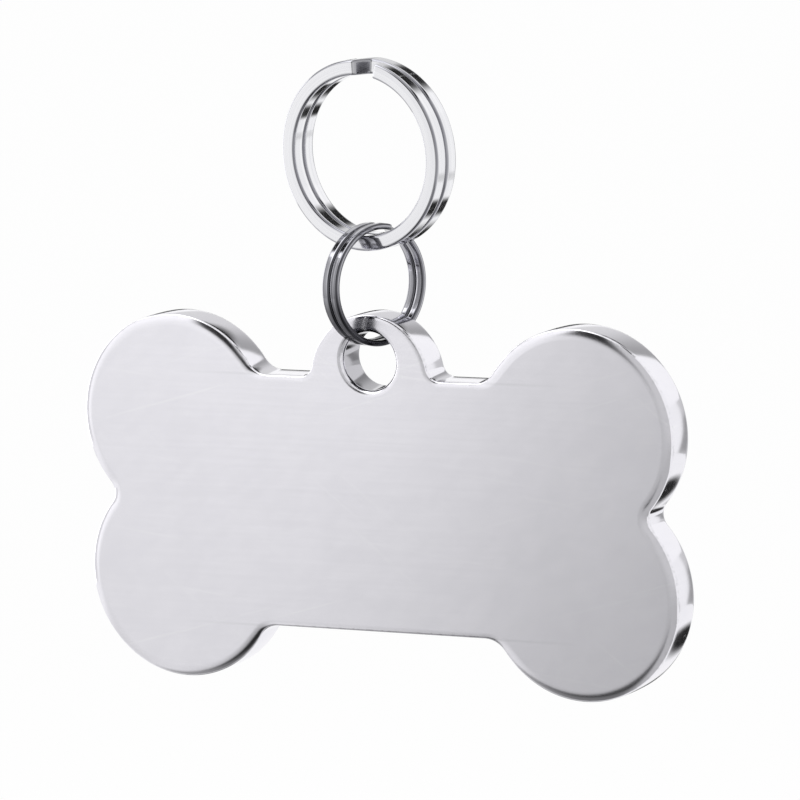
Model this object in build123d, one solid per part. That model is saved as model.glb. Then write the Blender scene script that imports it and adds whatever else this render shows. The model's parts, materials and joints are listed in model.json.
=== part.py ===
from build123d import *
import math
import os

# Pet identity tag: a bone-shaped steel plate hanging from a small split ring, which hangs from a
# larger split ring that goes on the collar.
# Millimetres. +X runs along the bone, -Y is the front face, +Z is up.
# The origin is the centre of the large split ring, where the collar's ring passes through.

# Tag plate
tag_length = 50.0
tag_height = 28.0
tag_thickness = 3.0
lobe_radius = 8.0
shank_height = 19.3
lobe_blend = 1.8
notch_blend = 1.2
front_round = 0.45
back_round = 0.3

# Lug on the top of the plate, with the hole for the small ring
lug_radius = 5.0
lug_sink = 0.15
lug_blend = 1.0
lug_land = 1.35
hole_diameter = 4.4
hole_round = 0.45

# Small split ring: two turns of flat wire
small_bore = 8.3
small_wire_radial = 0.46
small_wire_axial = 0.62
small_wire_round = 0.2
small_joggle = 16.0
small_split = 8.0
small_split_at = 52.0
small_turned = 18.74

# Large split ring: two turns of flat wire
large_bore = 12.0
large_wire_radial = 1.15
large_wire_axial = 1.05
large_wire_round = 0.22
large_joggle = 8.5
large_split = 9.0
large_split_at = 75.6
large_turned = 7.38

# Space between the two turns of a ring, and the play between linked pieces
turn_gap = 0.42
link_clearance = 0.15

# Sections along the bend that carries the wire from one turn to the next
joggle_sections = 9


def ring_half_width(wire_axial):
    """Half the width of a ring along its own axis."""
    return wire_axial + turn_gap / 2


def link_reach(bore_a, half_a, round_a, bore_b, half_b, round_b, twist):
    """Distance between the centres of two round openings that hang in each other.

    Each opening is the bore of a band, half_a and half_b wide on each side of its middle, and the
    bands cross at a right angle less the twist. The rounded corners of their crossing touch first,
    half way round their rounding.
    """
    inset_a = round_a * (1 - math.sqrt(0.5))
    inset_b = round_b * (1 - math.sqrt(0.5))
    edge_a = half_a - inset_a
    edge_b = half_b - inset_b
    along = (edge_b + edge_a * math.sin(twist)) / math.cos(twist)
    across = edge_a * math.cos(twist) + along * math.sin(twist)
    reach_a = math.sqrt((bore_a / 2) ** 2 - along**2) + inset_a
    reach_b = math.sqrt((bore_b / 2) ** 2 - across**2) + inset_b
    return reach_a + reach_b - link_clearance


small_turn = math.radians(small_turned)
large_turn = math.radians(large_turned)
small_band = (small_bore, ring_half_width(small_wire_axial), small_wire_round)
large_band = (large_bore, ring_half_width(large_wire_axial), large_wire_round)
hole_band = (hole_diameter, tag_thickness / 2, hole_round)

# Heights of the linked pieces, from the large ring down
small_z = -link_reach(*small_band, *large_band, abs(small_turn - large_turn))
hole_z = small_z - link_reach(*small_band, *hole_band, abs(small_turn))
lug_top = shank_height / 2 - lug_sink + lug_radius
tag_z = hole_z - (lug_top - lug_land - hole_diameter / 2)


def make_outline():
    """Outline of the plate: arcs that run into each other, joined by the straight shank edges."""
    lobe_x = tag_length / 2 - lobe_radius
    lobe_z = tag_height / 2 - lobe_radius
    shank_top = shank_height / 2
    lobe_drop = shank_top - lobe_z

    # The blends share the straight edge between a lobe and the lug
    lobe_chord = math.sqrt(lobe_radius**2 - lobe_drop**2)
    lug_chord = math.sqrt(lug_radius**2 - lug_sink**2)
    straight = lobe_x - lobe_chord - lug_chord
    lobe_need = lobe_blend * (lobe_radius - lobe_drop) / lobe_chord
    lug_need = lug_blend * (lug_radius - lug_sink) / lug_chord
    share = min(1.0, straight / (lobe_need + lug_need))
    lobe_fit = lobe_blend * share
    lug_fit = lug_blend * share

    # Hollow arc in the end, between two lobes
    notch_run = math.sqrt((lobe_radius + notch_blend) ** 2 - lobe_z**2)
    notch_angle = math.degrees(math.atan2(lobe_z, notch_run))
    notch = CenterArc((lobe_x + notch_run, 0), notch_blend, 180 - notch_angle, notch_angle)

    # Hollow arc from a lobe to the shank
    blend_rise = lobe_drop + lobe_fit
    blend_run = math.sqrt((lobe_radius + lobe_fit) ** 2 - blend_rise**2)
    blend_angle = math.degrees(math.atan2(blend_rise, blend_run))
    blend_x = lobe_x - blend_run
    blend = CenterArc((blend_x, shank_top + lobe_fit), lobe_fit, -90, 90 - blend_angle)

    lobe_turn = 180 - blend_angle + notch_angle
    lobe = CenterArc((lobe_x, lobe_z), lobe_radius, -notch_angle, lobe_turn)

    # Lug, and the hollow arc from it to the shank
    lug_rise = lug_sink + lug_fit
    lug_run = math.sqrt((lug_radius + lug_fit) ** 2 - lug_rise**2)
    lug_angle = math.degrees(math.atan2(lug_rise, lug_run))
    lug_side = CenterArc((lug_run, shank_top + lug_fit), lug_fit, 180 + lug_angle, 90 - lug_angle)
    lug = CenterArc((0, shank_top - lug_sink), lug_radius, lug_angle, 180 - 2 * lug_angle)

    quarter = Curve() + [notch, lobe, blend]
    top_edge = Line((lug_run, shank_top), (blend_x, shank_top))
    right = quarter + mirror(quarter, Plane.XZ) + [top_edge, lug_side]
    bottom_edge = Line((-blend_x, -shank_top), (blend_x, -shank_top))
    return make_face(right + mirror(right, Plane.YZ) + [lug, bottom_edge])


def make_tag():
    """The plate: four round lobes, a shank between them and a round lug with a hole."""
    hole = Pos(0, lug_top - lug_land - hole_diameter / 2) * Circle(hole_diameter / 2)
    plate = extrude(Plane.XZ * (make_outline() - hole), tag_thickness / 2, both=True)

    # The front edge is rolled over further than the back edge
    front = plate.faces().filter_by(Axis.Y).sort_by(Axis.Y)[0]
    plate = fillet(front.outer_wire().edges(), front_round)
    back = plate.faces().filter_by(Axis.Y).sort_by(Axis.Y)[-1]
    plate = fillet(back.outer_wire().edges(), back_round)

    broad_faces = plate.faces().filter_by(Axis.Y)
    mouths = [wire for face in broad_faces for wire in face.inner_wires()]
    plate = fillet([edge for wire in mouths for edge in wire.edges()], hole_round)
    return Pos(0, 0, tag_z) * plate


def joggle_height(share, pitch):
    """Height of the wire's middle along the bend: level at both ends, steepest half way."""
    return -pitch / 2 * math.cos(math.pi * share)


def make_ring(bore, wire_radial, wire_axial, wire_round, joggle, split, split_at):
    """A split ring about Z: one wire, two flat turns, a bend between them and two cut ends.

    The front turn ends at split_at. The wire climbs from the rear turn to the front turn past the
    split, and the rear turn starts one more split further on.
    """
    middle = (bore + wire_radial) / 2
    pitch = wire_axial + turn_gap
    section = RectangleRounded(wire_radial, wire_axial, wire_round)
    climb_from = split_at + split
    climb_to = climb_from + joggle

    wire = None
    for level, start in ((-pitch / 2, climb_to + split), (pitch / 2, climb_to)):
        profile = Plane.XZ * Pos(middle, level) * section
        turn = Rot(0, 0, start) * revolve(profile, Axis.Z, 360 - joggle - split)
        wire = turn if wire is None else wire + turn

    stations = []
    for step in range(joggle_sections):
        share = step / (joggle_sections - 1)
        angle = math.radians(climb_from + joggle * share)
        outward = Vector(math.cos(angle), math.sin(angle), 0)
        forward = Vector(-math.sin(angle), math.cos(angle), 0)
        place = outward * middle + Vector(0, 0, joggle_height(share, pitch))
        stations.append(Plane(place, x_dir=outward, z_dir=-forward) * section)
    wire += loft(stations)
    return wire


def least_gap(bore, wire_radial, wire_axial, joggle, split):
    """Least space between the wire and its own other turn, measured on points along it."""
    middle = (bore + wire_radial) / 2
    pitch = wire_axial + turn_gap
    points = []
    for angle in range(math.ceil(joggle + split), math.floor(720 - split) + 1):
        share = min(max((angle - 360) / joggle, 0.0), 1.0)
        points.append((angle, joggle_height(share, pitch)))
    least = math.inf
    for angle, height in points:
        for later_angle, later_height in points:
            if later_angle - angle > 180:
                round_way = math.radians(later_angle - angle - 360) * middle
                between = max(0.0, abs(later_height - height) - wire_axial)
                least = min(least, math.hypot(round_way, between))
    return least


tag_plate = make_tag()

small_axis = Vector(math.cos(small_turn), -math.sin(small_turn), 0)
small_across = Vector(math.sin(small_turn), math.cos(small_turn), 0)
small_place = Plane((0, 0, small_z), x_dir=small_across, z_dir=small_axis)
small_sizes = (small_bore, small_wire_radial, small_wire_axial)
small_split_ring = small_place * make_ring(
    *small_sizes, small_wire_round, small_joggle, small_split, small_split_at
)

large_axis = Vector(-math.sin(large_turn), -math.cos(large_turn), 0)
large_across = Vector(math.cos(large_turn), -math.sin(large_turn), 0)
large_place = Plane((0, 0, 0), x_dir=large_across, z_dir=large_axis)
large_sizes = (large_bore, large_wire_radial, large_wire_axial)
large_split_ring = large_place * make_ring(
    *large_sizes, large_wire_round, large_joggle, large_split, large_split_at
)

os.makedirs("parts", exist_ok=True)
nodes = {
    "tag_plate": tag_plate,
    "small_split_ring": small_split_ring,
    "large_split_ring": large_split_ring,
}
for name, shape in nodes.items():
    export_step(shape, f"parts/{name}.step")
    box = shape.bounding_box()
    size = " x ".join(f"{length:.2f}" for length in box.size)
    print(f"{name}: {len(shape.solids())} solid, {size} mm, {shape.volume:.1f} mm3")

print(f"small ring centre {small_z:.3f}, hole centre {hole_z:.3f}, bone centre {tag_z:.3f}")
print(f"least gap in the small ring {least_gap(*small_sizes, small_joggle, small_split):.3f} mm")
print(f"least gap in the large ring {least_gap(*large_sizes, large_joggle, large_split):.3f} mm")
print(f"small ring to large ring {small_split_ring.distance_to(large_split_ring):.3f} mm")
print(f"plate to small ring {tag_plate.distance_to(small_split_ring):.3f} mm")
print(f"plate to large ring {tag_plate.distance_to(large_split_ring):.3f} mm")
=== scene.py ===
"""Looks of a bone-shaped steel identity tag that hangs from two linked split rings.

Metres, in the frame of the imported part: +X along the bone, -Y out of the front face, +Z up, with the
origin at the centre of the large split ring.
"""
import json
import math

import bmesh
import bpy
from mathutils import Matrix, Vector


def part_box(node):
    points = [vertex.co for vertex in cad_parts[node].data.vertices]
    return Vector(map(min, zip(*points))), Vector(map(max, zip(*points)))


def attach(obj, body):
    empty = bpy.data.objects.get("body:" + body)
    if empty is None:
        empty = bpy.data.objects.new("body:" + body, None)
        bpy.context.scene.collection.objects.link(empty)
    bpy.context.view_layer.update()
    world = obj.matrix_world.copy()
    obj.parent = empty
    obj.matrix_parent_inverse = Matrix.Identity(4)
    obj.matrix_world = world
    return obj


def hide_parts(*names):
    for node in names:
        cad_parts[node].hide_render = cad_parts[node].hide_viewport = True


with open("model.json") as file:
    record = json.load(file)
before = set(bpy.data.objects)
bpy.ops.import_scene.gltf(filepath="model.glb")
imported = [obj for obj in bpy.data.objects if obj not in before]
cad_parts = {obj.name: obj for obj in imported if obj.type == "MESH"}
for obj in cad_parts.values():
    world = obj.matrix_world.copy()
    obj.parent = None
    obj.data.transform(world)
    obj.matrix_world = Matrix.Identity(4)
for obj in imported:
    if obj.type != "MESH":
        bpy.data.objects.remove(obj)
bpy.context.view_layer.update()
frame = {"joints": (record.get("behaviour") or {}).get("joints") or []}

MM = 0.001
MICRON = 0.000001

# The plate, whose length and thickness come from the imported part
plate_low, plate_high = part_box("tag_plate")
tag_length = plate_high.x - plate_low.x
tag_thickness = plate_high.y - plate_low.y
tag_height = 28.0 * MM
bone_z = plate_low.z + tag_height / 2
lobe_radius = 8.0 * MM
shank_height = 19.3 * MM
lobe_blend = 1.8 * MM
notch_blend = 1.2 * MM
lug_radius = 5.0 * MM
lug_sink = 0.15 * MM
lug_blend = 1.0 * MM
lug_land = 1.35 * MM
hole_radius = 2.2 * MM
hole_round = 0.45 * MM
hole_z = plate_high.z - bone_z - lug_land - hole_radius

# Polishing has dished the front face down towards its edge, less along the shank than round the lobes,
# and left the rim a little barrelled between its roundings
crown_widths = (0.5 * MM, 0.85 * MM)
crown_slopes = (math.radians(8), math.radians(24))
crown_change = (8.6 * MM, 11.0 * MM)
crown_land = 0.85
crown_yield = 6
edge_round = 0.16 * MM
back_round = 0.3 * MM
rim_bulge = 0.03 * MM
rim_tilt = math.atan(4 * rim_bulge / (tag_thickness - back_round))
flat_margin = 0.05 * MM
outline_step = 0.16 * MM
crown_steps = 12
edge_steps = 6
rim_steps = 10
hole_steps = 8
hole_sides = 144

# The split rings: bore, wire across the ring, width of the ring along its axis, rounding of the wire.
# In degrees: climb from turn to turn, split between a cut end and the climb, and the split's place.
# Contact shade is the share of painted shade, low at the front, where the small ring bears on the lug.
RINGS = {
    "small_split_ring": {
        "bore": 8.3 * MM,
        "radial": 0.46 * MM,
        "width": 1.66 * MM,
        "rounding": 0.2 * MM,
        "climb": 16.0,
        "split": 8.0,
        "split_at": 52.0,
        "contact_shade": 0.9,
    },
    "large_split_ring": {
        "bore": 12.0 * MM,
        "radial": 1.15 * MM,
        "width": 2.52 * MM,
        "rounding": 0.22 * MM,
        "climb": 8.5,
        "split": 9.0,
        "split_at": 75.6,
        "contact_shade": 0.0,
    },
}
turn_gap = 0.09 * MM
wire_step = 2.0
climb_steps = 24
corner_steps = 6
corner_margin = 0.15
cut_round = 0.07 * MM
cut_steps = 4
# Painted shade where the small ring bears on the lug: its place round the ring, and how far it spreads
contact_shade_at = math.radians(244)
contact_shade_spread = (0.2, 0.95)

# The camera, fitted to the outline of the tag in the photograph
image_size = 800
sensor_width = 36.0
view_azimuth = math.radians(28.742)
view_elevation = math.radians(9.138)
view_roll = math.radians(-2.464)
view_distance = 490.5 * MM
view_focal = 6556.3
view_right = 1.54 * MM
view_up = 7.742 * MM

# The studio's floor, world and soft boxes
floor_z = -0.11
floor_radius = 3.0
floor_colour = (0.9, 0.9, 0.9)
floor_roughness = 0.8
floor_white = 0.97
world_light = 0.6
box_light = 1.6

# Planes of the studio's cards and dark flags, in millimetres from the bone's centre
front_card_y = -160
low_card_z = -60
back_card_y = 200
rear_card_y = 206
left_card_x = -320
ceiling_z = 120
flag_gap = 1
card_steps = 90
card_white = 1.15

# Dark flags: shade, sides, and cover at shares of the way from the middle to the soft edge
flag_shade = 0.02
flag_sides = 48
flag_cover = ((0.02, 1.0), (0.45, 1.0), (0.6, 0.84), (0.75, 0.5), (0.9, 0.16), (1.0, 0.0))

# The greys that the plate's face shows. On the front card they lie a drop below the face, lean as they
# rise, and stop leaning at a reach from their middle. On the low card they drift with the distance
face_drop = 29
face_lean = 0.4
lean_reach = 31
low_drift = 0.45
low_loss = 0.2

# Dark zones on the front and low cards, each past a slanted line: a place on it, and its turn in degrees
zone_depth = 0.95
upper_zone = (-45, 55, 55.3)
lower_zone = (-23, -83, 27.8)

# Colours of the plate's steel and of the marks on it
cloud_colours = ((0.84, 0.829, 0.875), (0.88, 0.869, 0.916))
finger_colour = (0.825, 0.815, 0.863)
streak_colour = (0.815, 0.805, 0.853)
scratch_colour = (0.9, 0.9, 0.92)
# Worn nicks on the edges, and painted shade along the faint lines at the shank's edges
wear_and_line_shade_colour = (0.7, 0.7, 0.73)
# Painted shade on the wall of the lug's hole
bore_shade_colour = (0.5, 0.495, 0.525)

# Colours of each ring's wire, in its light and dark streaks and in the painted shade on its corners, and
# of what both share
bright_wire = ((0.88, 0.88, 0.9), (0.8, 0.8, 0.83), (0.22, 0.22, 0.25))
dark_wire = ((0.6, 0.6, 0.64), (0.2, 0.2, 0.22), (0.06, 0.06, 0.07))
# Painted shade where the small ring bears on the lug
contact_shade_colour = (0.03, 0.03, 0.035)
# Painted shade on the climb between the turns, seen through the split
climb_shade_colour = (0.3, 0.3, 0.32)
sawn_colour = (0.4, 0.4, 0.42)

# Faint lines of painted shade over shallow grooves, which carry the shank's edges on into the lobes:
# half width, strength, and where along the bone they start and fade
line_width = 0.16 * MM
line_depth = 0.45
line_start = (8.6 * MM, 9.6 * MM)
line_fade = (10.5 * MM, 17.0 * MM)

# Ways that the hairline scratches on the plate run, in degrees from the bone's length
scratch_turns = (7, -16, 38)


def ease(value, start, end):
    """0 up to start, 1 from end on, and an even ease between them."""
    share = min(max((value - start) / (end - start), 0.0), 1.0)
    return share * share * (3 - 2 * share)


def arc(centre_x, centre_z, radius, start, end, hollow=False):
    """Points along an arc with outward normals. A hollow arc has its centre outside the plate."""
    count = max(4, math.ceil(abs(math.radians(end - start)) * radius / outline_step))
    facing = -1 if hollow else 1
    points = []
    for step in range(count + 1):
        angle = math.radians(start + (end - start) * step / count)
        across = math.cos(angle)
        upward = math.sin(angle)
        place = (centre_x + radius * across, centre_z + radius * upward)
        points.append(place + (facing * across, facing * upward))
    return points


def straight(start_x, end_x, level, facing):
    """Points along a level edge of the plate."""
    count = max(2, math.ceil(abs(end_x - start_x) / outline_step))
    points = []
    for step in range(count + 1):
        points.append((start_x + (end_x - start_x) * step / count, level, 0.0, facing))
    return points


def chain(*runs):
    """Joins runs of points end to end, each shared end once."""
    points = list(runs[0])
    for run in runs[1:]:
        points += run[1:]
    return points


def flipped(points, flip_x, flip_z):
    """The mirror image of a run of points, walked the same way."""
    return [(x * flip_x, z * flip_z, nx * flip_x, nz * flip_z) for x, z, nx, nz in points]


def plate_outline():
    """The outline about the bone's centre, counter-clockwise from the right notch, with normals."""
    lobe_x = tag_length / 2 - lobe_radius
    lobe_z = tag_height / 2 - lobe_radius
    shank_top = shank_height / 2

    notch_run = math.sqrt((lobe_radius + notch_blend) ** 2 - lobe_z**2)
    notch_angle = math.degrees(math.atan2(lobe_z, notch_run))
    notch = arc(lobe_x + notch_run, 0, notch_blend, 180, 180 - notch_angle, hollow=True)

    blend_rise = shank_top - lobe_z + lobe_blend
    blend_run = math.sqrt((lobe_radius + lobe_blend) ** 2 - blend_rise**2)
    blend_angle = math.degrees(math.atan2(blend_rise, blend_run))
    blend_x = lobe_x - blend_run
    lobe = arc(lobe_x, lobe_z, lobe_radius, -notch_angle, 180 - blend_angle)
    blend = arc(blend_x, shank_top + lobe_blend, lobe_blend, -blend_angle, -90, hollow=True)
    corner = chain(notch, lobe, blend)

    lug_rise = lug_sink + lug_blend
    lug_run = math.sqrt((lug_radius + lug_blend) ** 2 - lug_rise**2)
    lug_angle = math.degrees(math.atan2(lug_rise, lug_run))
    shoulder = straight(blend_x, lug_run, shank_top, 1.0)
    lug_side = arc(lug_run, shank_top + lug_blend, lug_blend, 270, 180 + lug_angle, hollow=True)
    lug = arc(0, shank_top - lug_sink, lug_radius, lug_angle, 90)

    upper = chain(corner, shoulder, lug_side, lug)
    lower = chain(flipped(corner, 1, -1), straight(blend_x, 0, -shank_top, -1.0))
    over_top = chain(upper, flipped(upper, -1, 1)[::-1])
    under = chain(flipped(lower, -1, 1), lower[::-1])
    return chain(over_top, under)[:-1]


def crown_shape(x, z):
    """Width and end slope of the dished edge at an outline point: narrower where the hole is close."""
    share = ease(abs(x), *crown_change)
    width, slope = (
        shank + (lobe - shank) * share for shank, lobe in (crown_widths, crown_slopes)
    )
    land = math.hypot(x, z - hole_z) - hole_radius - hole_round - 4 * flat_margin
    limit = crown_land * land
    return (width**-crown_yield + limit**-crown_yield) ** (-1 / crown_yield), slope


def edge_profile(reach, slope):
    """Stations from the front face over the edge to the back: inset, depth, edge, polish."""
    stations = []
    for margin in (2, 1):
        stations.append((reach + margin * flat_margin, 0.0, 0.0, 0.0))
    round_inset = rim_bulge + edge_round * math.cos(rim_tilt)
    crown_end = round_inset - edge_round * math.sin(slope)
    crown_depth = math.tan(slope) * (reach - crown_end) / 2
    for step in range(crown_steps):
        share = step / crown_steps
        inset = reach + (crown_end - reach) * share
        stations.append((inset, crown_depth * share**2, share**4 / 2, ease(share, 0.3, 0.9)))
    round_depth = crown_depth + edge_round * math.cos(slope)
    for step in range(edge_steps + 1):
        turn = slope + (math.pi / 2 - rim_tilt - slope) * step / edge_steps
        inset = round_inset - edge_round * math.sin(turn)
        stations.append((inset, round_depth - edge_round * math.cos(turn), 1.0, 1.0))

    back_inset = rim_bulge + back_round * math.cos(rim_tilt)
    back_depth = tag_thickness - back_round
    wall_start = round_depth - edge_round * math.sin(rim_tilt)
    wall_end = back_depth + back_round * math.sin(rim_tilt)
    for step in range(1, rim_steps):
        share = step / rim_steps
        depth = wall_start + (wall_end - wall_start) * share
        stations.append((rim_bulge * (2 * share - 1) ** 2, depth, 0.0, 1.0))
    for step in range(edge_steps + 1):
        share = step / edge_steps
        turn = rim_tilt + (math.pi / 2 - rim_tilt) * share
        inset = back_inset - back_round * math.cos(turn)
        depth = back_depth + back_round * math.sin(turn)
        stations.append((inset, depth, math.sin(math.pi * share), 1 - share))
    for margin in (1, 2):
        stations.append((back_inset + margin * flat_margin, tag_thickness, 0.0, 0.0))
    return stations


def hole_profile():
    """Stations through the hole from front to back: radius, depth, edge, polish."""
    mouth = hole_radius + hole_round
    stations = [(mouth + margin * flat_margin, 0.0, 0.0, 0.0) for margin in (2, 1)]
    for step in range(hole_steps + 1):
        share = step / hole_steps
        turn = math.pi / 2 * share
        radius = mouth - hole_round * math.sin(turn)
        stations.append((radius, hole_round * (1 - math.cos(turn)), math.sin(2 * turn), share))
    back = [(radius, tag_thickness - depth, *rest) for radius, depth, *rest in stations]
    return stations + back[::-1]


def add_loop(bm, places, **values):
    """Adds a loop of vertices, and writes each named value to all of them."""
    loop = [bm.verts.new(place) for place in places]
    for name, per_vertex in values.items():
        layer = bm.verts.layers.float.get(name) or bm.verts.layers.float.new(name)
        for vertex, value in zip(loop, per_vertex):
            vertex[layer] = value
    return loop


def join_loops(bm, first, second, closed=True):
    """Quads between two loops of as many vertices."""
    count = len(first)
    for here in range(count if closed else count - 1):
        after = (here + 1) % count
        bm.faces.new((first[here], second[here], second[after], first[after]))


def loop_edges(bm, loop):
    """The edges of a closed loop of vertices."""
    return [bm.edges.get((loop[here - 1], loop[here])) for here in range(len(loop))]


def finish_mesh(bm, name):
    """Turns a bmesh into a smooth-shaded object with outward normals."""
    bmesh.ops.recalc_face_normals(bm, faces=bm.faces)
    for face in bm.faces:
        face.smooth = True
    mesh = bpy.data.meshes.new(name)
    bm.to_mesh(mesh)
    bm.free()
    piece = bpy.data.objects.new(name, mesh)
    bpy.context.scene.collection.objects.link(piece)
    return piece


def make_plate():
    """The bone plate with its dished front edge, eased back edge and the rounded hole in its lug."""
    bm = bmesh.new()
    for name in ("edge", "polish", "bore"):
        bm.verts.layers.float.new(name)
    front_y = plate_low.y
    outline = plate_outline()
    profiles = [edge_profile(*crown_shape(x, z)) for x, z, _, _ in outline]

    loops = []
    for stations in zip(*profiles):
        places = []
        for (x, z, nx, nz), (inset, depth, _, _) in zip(outline, stations):
            places.append((x - nx * inset, front_y + depth, bone_z + z - nz * inset))
        edges = [edge for _, _, edge, _ in stations]
        polishes = [polish for _, _, _, polish in stations]
        loops.append(add_loop(bm, places, edge=edges, polish=polishes))

    hole_loops = []
    for radius, depth, edge, polish in hole_profile():
        places = []
        for side in range(hole_sides):
            angle = 2 * math.pi * side / hole_sides
            level = bone_z + hole_z + radius * math.sin(angle)
            places.append((radius * math.cos(angle), front_y + depth, level))
        values = {"edge": [edge] * hole_sides, "polish": [polish] * hole_sides}
        # The bore share marks the hole's wall for painted shade
        values["bore"] = [polish**2] * hole_sides
        hole_loops.append(add_loop(bm, places, **values))

    for group in (loops, hole_loops):
        for first, second in zip(group, group[1:]):
            join_loops(bm, first, second)
    for end in (0, -1):
        mouths = loop_edges(bm, loops[end]) + loop_edges(bm, hole_loops[end])
        bmesh.ops.triangle_fill(bm, edges=mouths, use_beauty=True)
    return finish_mesh(bm, "bone_plate")


def wire_section(radial, axial, rounding):
    """Section of the flat wire: places and normals, across the ring and along its axis, and edge."""
    points = []
    margin = corner_margin * rounding
    corners = ((1, 1, 0), (-1, 1, 90), (-1, -1, 180), (1, -1, 270))
    for side, level, start in corners:
        for step in range(-1, corner_steps + 2):
            share = min(max(step / corner_steps, 0.0), 1.0)
            angle = math.radians(start + 90 * share)
            across = math.cos(angle)
            along = math.sin(angle)
            place_across = side * (radial / 2 - rounding) + rounding * across
            place_along = level * (axial / 2 - rounding) + rounding * along
            if step < 0:
                place_across += margin * math.sin(angle)
                place_along -= margin * math.cos(angle)
            if step > corner_steps:
                place_across -= margin * math.sin(angle)
                place_along += margin * math.cos(angle)
            points.append((place_across, place_along, across, along, math.sin(math.pi * share)))
    return points


def wire_stations(middle, climb, split):
    """Stations along the wire: turn in degrees past the climb's foot, and inset of the cut ends."""
    first = climb + split
    last = 720.0 - split
    round_over = []
    for step in range(cut_steps + 1):
        turn = math.pi / 2 * step / cut_steps
        round_over.append((cut_round * (1 - math.sin(turn)), cut_round * (1 - math.cos(turn))))
    stations = [(first + math.degrees(back / middle), inset) for back, inset in round_over[::-1]]
    runs = (
        (first, 360.0, wire_step),
        (360.0, 360.0 + climb, climb / climb_steps),
        (360.0 + climb, last, wire_step),
    )
    for start, end, stride in runs:
        count = math.ceil((end - start) / stride)
        stations += [(start + (end - start) * step / count, 0.0) for step in range(1, count + 1)]
    stations.pop()
    return stations + [(last - math.degrees(back / middle), inset) for back, inset in round_over]


def make_ring(name, node, centre, axis):
    """A split ring: one flat wire, two turns, the climb between them and two cut ends."""
    ring = RINGS[node]
    middle = (ring["bore"] + ring["radial"]) / 2
    axial = (ring["width"] - turn_gap) / 2
    pitch = axial + turn_gap
    across = Vector((0, 0, 1)).cross(axis)
    up = axis.cross(across)
    section = wire_section(ring["radial"], axial, ring["rounding"])
    edges = [edge for _, _, _, _, edge in section]
    count = len(section)

    bm = bmesh.new()
    for value in ("edge", "cut", "climb", "contact_shade", "run", "girth"):
        bm.verts.layers.float.new(value)
    loops = []
    for turn, inset in wire_stations(middle, ring["climb"], ring["split"]):
        share = min(max((turn - 360) / ring["climb"], 0.0), 1.0)
        height = -pitch / 2 * math.cos(math.pi * share)
        angle = math.radians(ring["split_at"] + ring["split"] + turn)
        outward = across * math.cos(angle) + up * math.sin(angle)
        places = []
        girths = []
        for place_across, place_along, normal_across, normal_along, _ in section:
            out = middle + place_across - inset * normal_across
            along = height + place_along - inset * normal_along
            places.append(centre + outward * out + axis * along)
            girths.append(place_along + 2 * place_across)
        # Share of painted shade where the small ring bears on the lug
        contact_shade_share = ring["contact_shade"] * ease(math.cos(angle - contact_shade_at), *contact_shade_spread)
        values = {"edge": edges, "cut": [inset / cut_round] * count}
        values["climb"] = [math.sin(math.pi * share) ** 0.5] * count
        values["contact_shade"] = [contact_shade_share] * count
        values["run"] = [math.radians(turn) * middle] * count
        values["girth"] = girths
        loops.append(add_loop(bm, places, **values))
    for first, second in zip(loops, loops[1:]):
        join_loops(bm, first, second)
    bm.faces.new(loops[0])
    bm.faces.new(loops[-1])
    return finish_mesh(bm, name)


def new_material(name):
    """A material with a bare Principled shader, and the parts of its node tree."""
    material = bpy.data.materials.new(name)
    material.use_nodes = True
    nodes = material.node_tree.nodes
    links = material.node_tree.links
    return material, nodes, links, nodes["Principled BSDF"]


def attribute(nodes, name):
    """A value that the mesh carries."""
    node = nodes.new("ShaderNodeAttribute")
    node.attribute_name = name
    return node.outputs["Fac"]


def noise(nodes, links, place, scale, detail, turn=0.0):
    """Noise with its own scale along each axis, per metre, turned about the plate's normal."""
    mapping = nodes.new("ShaderNodeMapping")
    mapping.vector_type = "TEXTURE"
    mapping.inputs["Rotation"].default_value = (0, turn, 0)
    mapping.inputs["Scale"].default_value = [1 / each for each in scale]
    texture = nodes.new("ShaderNodeTexNoise")
    texture.inputs["Scale"].default_value = 1.0
    texture.inputs["Detail"].default_value = detail
    links.new(place, mapping.inputs["Vector"])
    links.new(mapping.outputs["Vector"], texture.inputs["Vector"])
    return texture.outputs["Fac"]


def spread(nodes, links, value, given, wanted):
    """Carries a value from one range to another."""
    node = nodes.new("ShaderNodeMapRange")
    node.inputs["From Min"].default_value = given[0]
    node.inputs["From Max"].default_value = given[1]
    node.inputs["To Min"].default_value = wanted[0]
    node.inputs["To Max"].default_value = wanted[1]
    links.new(value, node.inputs["Value"])
    return node.outputs["Result"]


def combine(nodes, links, operation, first, second):
    """A sum, product or other join of two values."""
    node = nodes.new("ShaderNodeMath")
    node.operation = operation
    links.new(first, node.inputs[0])
    links.new(second, node.inputs[1])
    return node.outputs["Value"]


def blend_values(nodes, links, share, first, second):
    """The first value where the share is 0, the second where it is 1."""
    node = nodes.new("ShaderNodeMix")
    links.new(share, node.inputs["Factor"])
    links.new(first, node.inputs["A"])
    links.new(second, node.inputs["B"])
    return node.outputs["Result"]


def blend_colours(nodes, links, share, first, second):
    """A colour between two others. Each is a plain colour or the output of another blend."""
    node = nodes.new("ShaderNodeMix")
    node.data_type = "RGBA"
    links.new(share, node.inputs["Factor"])
    for socket, colour in ((node.inputs[6], first), (node.inputs[7], second)):
        if isinstance(colour, tuple):
            socket.default_value = (*colour, 1)
        else:
            links.new(colour, socket)
    return node.outputs[2]


def add_bump(nodes, links, shader, layers):
    """Raises the surface by each layer's height, given as a value and its depth in metres."""
    below = None
    for height, depth in layers:
        bump = nodes.new("ShaderNodeBump")
        bump.inputs["Distance"].default_value = depth
        links.new(height, bump.inputs["Height"])
        if below:
            links.new(below, bump.inputs["Normal"])
        below = bump.outputs["Normal"]
    links.new(below, shader.inputs["Normal"])


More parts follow.
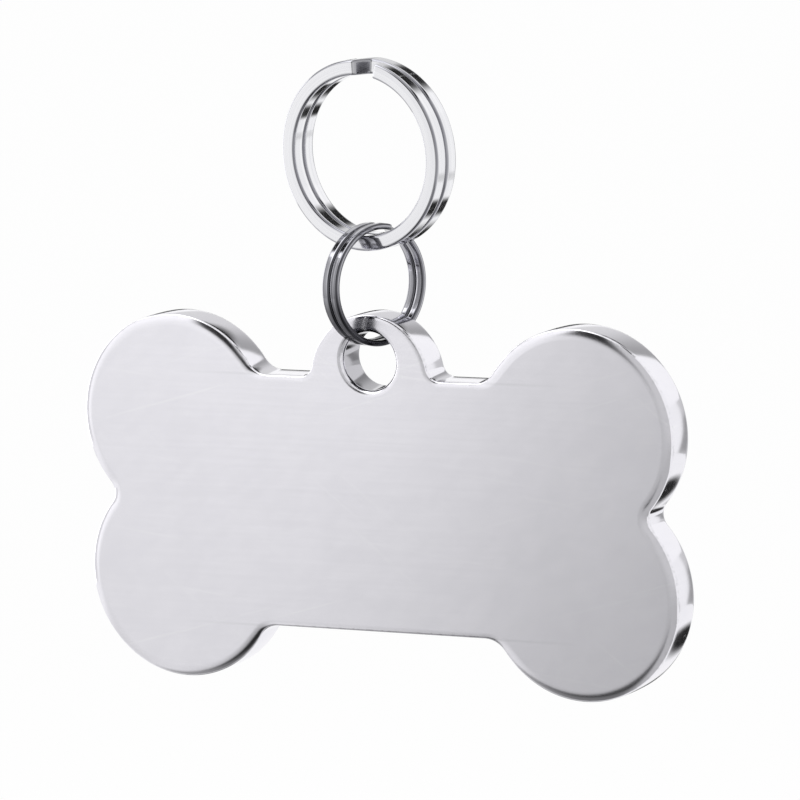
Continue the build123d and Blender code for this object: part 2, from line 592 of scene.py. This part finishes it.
def offset(nodes, links, value, middle):
    """How far a value lies from a middle, either way."""
    shift = nodes.new("ShaderNodeMath")
    shift.operation = "SUBTRACT"
    shift.inputs[1].default_value = middle
    size = nodes.new("ShaderNodeMath")
    size.operation = "ABSOLUTE"
    links.new(value, shift.inputs[0])
    links.new(shift.outputs["Value"], size.inputs[0])
    return size.outputs["Value"]


def shank_lines(nodes, links, place):
    """Faint lines on the front that carry the shank's edges on into the lobes: painted shade over
    shallow grooves.
    """
    parts = nodes.new("ShaderNodeSeparateXYZ")
    links.new(place, parts.inputs["Vector"])
    from_middle = offset(nodes, links, parts.outputs["X"], 0.0)
    from_axis = offset(nodes, links, parts.outputs["Z"], bone_z)
    from_line = offset(nodes, links, from_axis, shank_height / 2)
    line = spread(nodes, links, from_line, (0.0, line_width), (line_depth, 0.0))
    start = spread(nodes, links, from_middle, line_start, (0.0, 1.0))
    fade = spread(nodes, links, from_middle, line_fade, (1.0, 0.0))
    front = spread(nodes, links, parts.outputs["Y"], (0.0, plate_low.y / 2), (0.0, 1.0))
    for limit in (start, fade, front):
        line = combine(nodes, links, "MULTIPLY", line, limit)
    return line


def make_plate_steel():
    """Satin steel with polished edges: fine streaks along the bone, smudges, hairline scratches and worn
    nicks on the edges, with painted shade along faint lines at the shank's edges and on the wall of the
    hole.
    """
    material, nodes, links, shader = new_material("polished_steel")
    place = nodes.new("ShaderNodeTexCoord").outputs["Object"]
    polish = attribute(nodes, "polish")
    edge = attribute(nodes, "edge")
    bore = attribute(nodes, "bore")
    streaks = noise(nodes, links, place, (110, 300, 3400), 4.0)
    smudges = noise(nodes, links, place, (95, 95, 130), 3.0)
    fingers = noise(nodes, links, place, (420, 420, 700), 3.0, math.radians(-35))
    grain = noise(nodes, links, place, (3000, 3000, 6500), 2.0)
    nicks = noise(nodes, links, place, (2600, 2600, 2600), 2.0)
    scratches = None
    for turn in scratch_turns:
        field = noise(nodes, links, place, (45, 200, 3600), 1.0, math.radians(turn))
        lines = spread(nodes, links, field, (0.7, 0.78), (0.0, 1.0))
        scratches = lines if scratches is None else combine(nodes, links, "MAXIMUM", scratches, lines)

    chips = spread(nodes, links, nicks, (0.5, 0.62), (0.0, 0.6))
    nicked = combine(nodes, links, "MULTIPLY", edge, chips)
    # Worn nicks on the edges, and painted shade along the faint lines at the shank's edges
    wear_and_line_shade = combine(nodes, links, "MAXIMUM", nicked, shank_lines(nodes, links, place))
    cloudy = blend_colours(nodes, links, smudges, *cloud_colours)
    handled = spread(nodes, links, fingers, (0.35, 0.7), (0.0, 0.8))
    smeared = blend_colours(nodes, links, handled, cloudy, finger_colour)
    drawn = spread(nodes, links, streaks, (0.3, 0.7), (0.0, 0.3))
    streaked = blend_colours(nodes, links, drawn, smeared, streak_colour)
    faint = spread(nodes, links, scratches, (0, 1), (0, 0.35))
    scored = blend_colours(nodes, links, faint, streaked, scratch_colour)
    wear_and_painted_shade = blend_colours(nodes, links, wear_and_line_shade, scored, wear_and_line_shade_colour)
    # Painted shade on the wall of the lug's hole
    colour = blend_colours(nodes, links, bore, wear_and_painted_shade, bore_shade_colour)
    links.new(colour, shader.inputs["Base Color"])
    shader.inputs["Metallic"].default_value = 1.0

    satin = spread(nodes, links, smudges, (0.25, 0.75), (0.21, 0.27))
    streak_roughness = spread(nodes, links, streaks, (0.3, 0.7), (-0.01, 0.01))
    brushed = combine(nodes, links, "ADD", satin, streak_roughness)
    bright = spread(nodes, links, nicks, (0.3, 0.7), (0.07, 0.1))
    links.new(blend_values(nodes, links, polish, brushed, bright), shader.inputs["Roughness"])

    layers = ((streaks, 0.15 * MICRON), (grain, 0.3 * MICRON), (wear_and_line_shade, -3 * MICRON))
    add_bump(nodes, links, shader, layers)
    return material


def make_wire_steel(name, light, dark, corner):
    """Drawn spring wire: streaks along its run, painted shade on its corners, painted shade low where
    the small ring bears on the lug, painted shade on the climb, and sawn ends.
    """
    material, nodes, links, shader = new_material(name)
    edge = attribute(nodes, "edge")
    cut = attribute(nodes, "cut")
    climb = attribute(nodes, "climb")
    contact_shade = attribute(nodes, "contact_shade")
    place = nodes.new("ShaderNodeCombineXYZ")
    links.new(attribute(nodes, "run"), place.inputs["X"])
    links.new(attribute(nodes, "girth"), place.inputs["Z"])
    streaks = noise(nodes, links, place.outputs["Vector"], (45, 1, 5200), 2.0)
    patches = noise(nodes, links, place.outputs["Vector"], (300, 1, 900), 2.0)
    solid_place = nodes.new("ShaderNodeTexCoord").outputs["Object"]
    grain = noise(nodes, links, solid_place, (9000, 9000, 9000), 2.0)

    drawn = spread(nodes, links, streaks, (0.36, 0.64), (0.0, 1.0))
    streaked = blend_colours(nodes, links, drawn, dark, light)
    # Painted shade on the wire's rounded corners, patchy in strength
    corner_shade_patches = spread(nodes, links, patches, (0.3, 0.6), (0.8, 1.0))
    wear_and_painted_shade = combine(nodes, links, "MULTIPLY", edge, corner_shade_patches)
    cornered = blend_colours(nodes, links, wear_and_painted_shade, streaked, corner)
    # Painted shade where the small ring bears on the lug
    contact_shaded = blend_colours(nodes, links, contact_shade, cornered, contact_shade_colour)
    # Painted shade on the climb between the turns, seen through the split
    climb_shaded = blend_colours(nodes, links, climb, contact_shaded, climb_shade_colour)
    colour = blend_colours(nodes, links, cut, climb_shaded, sawn_colour)
    links.new(colour, shader.inputs["Base Color"])
    shader.inputs["Metallic"].default_value = 1.0

    streak_roughness = spread(nodes, links, streaks, (0.3, 0.7), (0.08, 0.05))
    patch_roughness = spread(nodes, links, patches, (0.4, 0.7), (0.0, 0.04))
    handled = combine(nodes, links, "ADD", streak_roughness, patch_roughness)
    sawn = spread(nodes, links, grain, (0.3, 0.7), (0.32, 0.5))
    links.new(blend_values(nodes, links, cut, handled, sawn), shader.inputs["Roughness"])

    sawn_height = combine(nodes, links, "MULTIPLY", grain, cut)
    add_bump(nodes, links, shader, ((streaks, 0.5 * MICRON), (sawn_height, 10 * MICRON)))
    return material


def glow_material(name):
    """A material with nothing but a glow, the parts of its node tree, and its surface socket."""
    material = bpy.data.materials.new(name)
    material.use_nodes = True
    nodes = material.node_tree.nodes
    nodes.clear()
    glow = nodes.new("ShaderNodeEmission")
    output = nodes.new("ShaderNodeOutputMaterial")
    return material, nodes, material.node_tree.links, glow, output.inputs["Surface"]


def hang_card(card, material):
    """Gives a studio card or flag its material, and shows it to reflections alone."""
    card.data.materials.append(material)
    card.visible_camera = False
    card.visible_diffuse = False
    card.visible_shadow = False
    card.visible_transmission = False


def make_card(name, across, along, place, shade):
    """A glowing studio card. Its place and shade follow two ways across it."""
    bm = bmesh.new()
    bm.verts.layers.float.new("shade")
    loops = []
    for row in range(card_steps + 1):
        second = along[0] + (along[1] - along[0]) * row / card_steps
        places = []
        shades = []
        for column in range(card_steps + 1):
            first = across[0] + (across[1] - across[0]) * column / card_steps
            x, y, z = place(first, second)
            places.append((x * MM, y * MM, bone_z + z * MM))
            shades.append(shade(first, second))
        loops.append(add_loop(bm, places, shade=shades))
    for first, second in zip(loops, loops[1:]):
        join_loops(bm, first, second, closed=False)

    material, nodes, links, glow, surface = glow_material(name)
    links.new(attribute(nodes, "shade"), glow.inputs["Strength"])
    links.new(glow.outputs["Emission"], surface)
    hang_card(finish_mesh(bm, name), material)


def make_flag(name, centre, length, width):
    """A dark oval with a soft edge. Its half length and half width are given as vectors."""
    bm = bmesh.new()
    bm.verts.layers.float.new("cover")
    loops = []
    for share, cover in flag_cover:
        places = []
        for side in range(flag_sides):
            angle = 2 * math.pi * side / flag_sides
            x, y, z = (
                middle + share * (along * math.cos(angle) + beside * math.sin(angle))
                for middle, along, beside in zip(centre, length, width)
            )
            places.append((x * MM, y * MM, bone_z + z * MM))
        loops.append(add_loop(bm, places, cover=[cover] * flag_sides))
    for first, second in zip(loops, loops[1:]):
        join_loops(bm, first, second)

    material, nodes, links, glow, surface = glow_material(name)
    glow.inputs["Strength"].default_value = flag_shade
    clear = nodes.new("ShaderNodeBsdfTransparent")
    mix = nodes.new("ShaderNodeMixShader")
    links.new(attribute(nodes, "cover"), mix.inputs["Fac"])
    links.new(clear.outputs["BSDF"], mix.inputs[1])
    links.new(glow.outputs["Emission"], mix.inputs[2])
    links.new(mix.outputs["Shader"], surface)
    hang_card(finish_mesh(bm, name), material)


def past_line(across, along, line):
    """How far a place on a card lies past a slanted line."""
    line_across, line_along, turn = line
    angle = math.radians(turn)
    return math.cos(angle) * (across - line_across) + math.sin(angle) * (along - line_along)


def face_grey(across):
    """Shade that the plate's face shows: light on the left, greyer on the right."""
    rise = 0.11 * ease(across, -125, -100)
    fall = 0.47 * ease(across, -90, -56)
    return 0.95 + rise - fall + 0.06 * ease(across, -50, 0)


def front_shade(across, level):
    """The front card: the face's greys, darker low down, white round them, and the upper dark zone."""
    above = ease(level, 5, 110) * (1 - ease(across, -62, -30))
    left = 1 - ease(across, -250, -130)
    right = ease(across, 92, 120)
    white = max(above, left, right)
    lean = face_lean * min(max(level + face_drop, -lean_reach), lean_reach)
    grey = face_grey(across - lean) * (1 - low_loss * (1 - ease(level, -50, -5)))
    sides = ease(across, -92, -62) * (1 - ease(across, -22, 8))
    dark = ease(past_line(across, level, upper_zone), -26, 2) * sides
    return (grey * (1 - white) + card_white * white) * (1 - zone_depth * dark)


def low_shade(across, along):
    """The low card: the face's greys in front, white behind, and the lower dark zone."""
    drift = across + face_lean * lean_reach - low_drift * (along - front_card_y)
    white = max(ease(along, -34, -8), 1 - ease(drift, -200, -145))
    sides = (1 - ease(across, 4, 22)) * (1 - 0.35 * ease(along, -66, -42))
    dark = ease(past_line(across, along, lower_zone), -21, 0) * sides
    grey = face_grey(drift) * (1 - low_loss) * (1 - zone_depth * dark)
    return grey * (1 - white) + white


def back_shade(across, level):
    """The back card: greys that the upper edges show, white on the right."""
    grey = ease(level, 56, 74) * (1 - ease(level, 140, 165)) * (1 - ease(across, 42, 54))
    return 1.05 - (0.3 + 0.35 * ease(across, -60, 38)) * grey


def left_shade(along, level):
    """The left card: light in front and lighter behind, the same at every level."""
    return 0.78 + 0.14 * ease(along, -150, 0)


def rear_shade(across, level):
    """The rear card, low behind the tag: greyer to the right, but white where the right rims look."""
    rims = 1 - ease(across, 116, 127)
    middle = ease(across, -90, 40) * rims
    low = ease(-level, 52, 70) * ease(across, 130, 190)
    hole = ease(across, 70, 100) * rims * (1 - ease(abs(level + 28), 22, 45))
    return 1.0 - 0.36 * max(middle, low) - 0.28 * hole


def make_cards():
    """The cards and dark flags round the tag that its polished edges show."""
    make_card("front_card", (-320, 120), (-60, 170), lambda x, z: (x, front_card_y, z), front_shade)
    make_card("low_card", (-230, 120), (-160, 200), lambda x, y: (x, y, low_card_z), low_shade)
    make_card("back_card", (-230, 150), (40, 230), lambda x, z: (x, back_card_y, z), back_shade)
    make_card("left_card", (-300, 60), (-150, 200), lambda y, z: (left_card_x, y, z), left_shade)
    make_card("rear_card", (-330, 330), (-140, 38), lambda x, z: (x, rear_card_y, z), rear_shade)

    low_z = low_card_z + flag_gap
    back_y = back_card_y - flag_gap
    make_flag("overhead_flag", (57, -10, ceiling_z), (20, 0, 0), (0, 90, 0))
    make_flag("underneath_flag", (-26, 12, low_z), (46, 0, 0), (0, 24, 0))
    make_flag("small_ring_top_flag", (-112, 9, ceiling_z), (34, 0, 0), (0, 34, 0))
    make_flag("right_rim_flag", (42, 107, low_z), (27, 6, 0), (-8, 42, 0))
    make_flag("inner_ring_flag", (-32, 142, low_z), (42, -35, 0), (16, 19, 0))
    make_flag("outer_ring_flag", (-6, back_y - flag_gap, 172), (94, 0, 15), (-6, 0, 38))
    make_flag("horizon_flag", (-112, back_y, 18), (110, 0, 0), (0, 0, 22))


def make_lights():
    """Two soft boxes, on the left and overhead on the left."""
    boxes = (
        ("left_box", (-280, 60, 10), (260, 240)),
        ("top_box", (-150, -60, 260), (240, 240)),
    )
    for name, place, (width, height) in boxes:
        data = bpy.data.lights.new(name, "AREA")
        data.shape = "RECTANGLE"
        data.size = width * MM
        data.size_y = height * MM
        data.energy = box_light * math.pi * data.size * data.size_y
        light = bpy.data.objects.new(name, data)
        light.location = Vector(place) * MM + Vector((0, 0, bone_z))
        aim = Vector((0, 0, bone_z)) - light.location
        light.rotation_euler = aim.to_track_quat("-Z", "Y").to_euler()
        bpy.context.scene.collection.objects.link(light)


def background_rays(nodes, links):
    """1 for the camera and for what metal and glass show, 0 for the light that falls on the tag."""
    path = nodes.new("ShaderNodeLightPath")
    seen = path.outputs["Is Camera Ray"]
    for kind in ("Is Glossy Ray", "Is Transmission Ray"):
        seen = combine(nodes, links, "MAXIMUM", seen, path.outputs[kind])
    return seen


def make_world():
    """A white studio: plain even light, and white to the camera, to metal and to glass."""
    world = bpy.data.worlds.new("studio")
    bpy.context.scene.world = world
    world.use_nodes = True
    nodes = world.node_tree.nodes
    links = world.node_tree.links
    nodes["Background"].inputs["Color"].default_value = (1, 1, 1, 1)
    level = spread(nodes, links, background_rays(nodes, links), (0.0, 1.0), (world_light, 1.0))
    links.new(level, nodes["Background"].inputs["Strength"])


def make_floor():
    """A plain pale floor below the hanging tag, nearly white to the camera, with the tag's shadow."""
    bpy.ops.mesh.primitive_circle_add(
        vertices=96, radius=floor_radius, fill_type="NGON", location=(0, 0, floor_z)
    )
    floor = bpy.context.object
    floor.name = "floor"
    material, nodes, links, shader = new_material("pale_floor")
    shader.inputs["Base Color"].default_value = (*floor_colour, 1)
    shader.inputs["Roughness"].default_value = floor_roughness
    glow = nodes.new("ShaderNodeEmission")
    mix = nodes.new("ShaderNodeMixShader")
    share = spread(nodes, links, background_rays(nodes, links), (0.0, 1.0), (0.0, floor_white))
    links.new(share, mix.inputs["Fac"])
    links.new(shader.outputs["BSDF"], mix.inputs[1])
    links.new(glow.outputs["Emission"], mix.inputs[2])
    links.new(mix.outputs["Shader"], nodes["Material Output"].inputs["Surface"])
    floor.data.materials.append(material)


def make_camera():
    """The camera at the photograph's place."""
    back = Vector(
        (
            math.sin(view_azimuth) * math.cos(view_elevation),
            -math.cos(view_azimuth) * math.cos(view_elevation),
            math.sin(view_elevation),
        )
    )
    right = Vector((math.cos(view_azimuth), math.sin(view_azimuth), 0))
    up = back.cross(right)
    target = Vector((0, 0, bone_z + view_up)) + right * view_right
    camera_x = right * math.cos(view_roll) + up * math.sin(view_roll)
    camera_y = up * math.cos(view_roll) - right * math.sin(view_roll)
    turn = Matrix((camera_x, camera_y, back)).transposed()

    data = bpy.data.cameras.new("camera")
    data.sensor_width = sensor_width
    data.lens = view_focal * sensor_width / image_size
    data.clip_start = 0.01
    data.clip_end = 20.0
    camera = bpy.data.objects.new("camera", data)
    camera.location = target + back * view_distance
    camera.rotation_euler = turn.to_euler()
    bpy.context.scene.collection.objects.link(camera)
    bpy.context.scene.camera = camera


def dress(piece, material, node, body):
    """Gives a piece its material and puts it in the place of its CAD node."""
    piece.data.materials.append(material)
    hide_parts(node)
    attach(piece, body)


joints = {joint["name"]: joint for joint in frame["joints"]}
large_hinge = joints["small_ring_round_large_ring"]
small_hinge = joints["plate_round_small_ring"]
large_axis = -Vector(large_hinge["axis"]).normalized()
small_axis = Vector(small_hinge["axis"]).normalized()

plate_steel = make_plate_steel()
bright_steel = make_wire_steel("bright_spring_steel", *bright_wire)
dark_steel = make_wire_steel("dark_spring_steel", *dark_wire)
plate = make_plate()
dress(plate, plate_steel, "tag_plate", "plate")
small_ring = make_ring(
    "small_ring_wire", "small_split_ring", Vector(small_hinge["pos_m"]), small_axis
)
dress(small_ring, dark_steel, "small_split_ring", "small_ring")
large_ring = make_ring(
    "large_ring_wire", "large_split_ring", Vector(large_hinge["pos_m"]), large_axis
)
dress(large_ring, bright_steel, "large_split_ring", "large_ring")

make_world()
make_floor()
make_cards()
make_lights()
make_camera()
bpy.context.scene.view_settings.view_transform = "Standard"
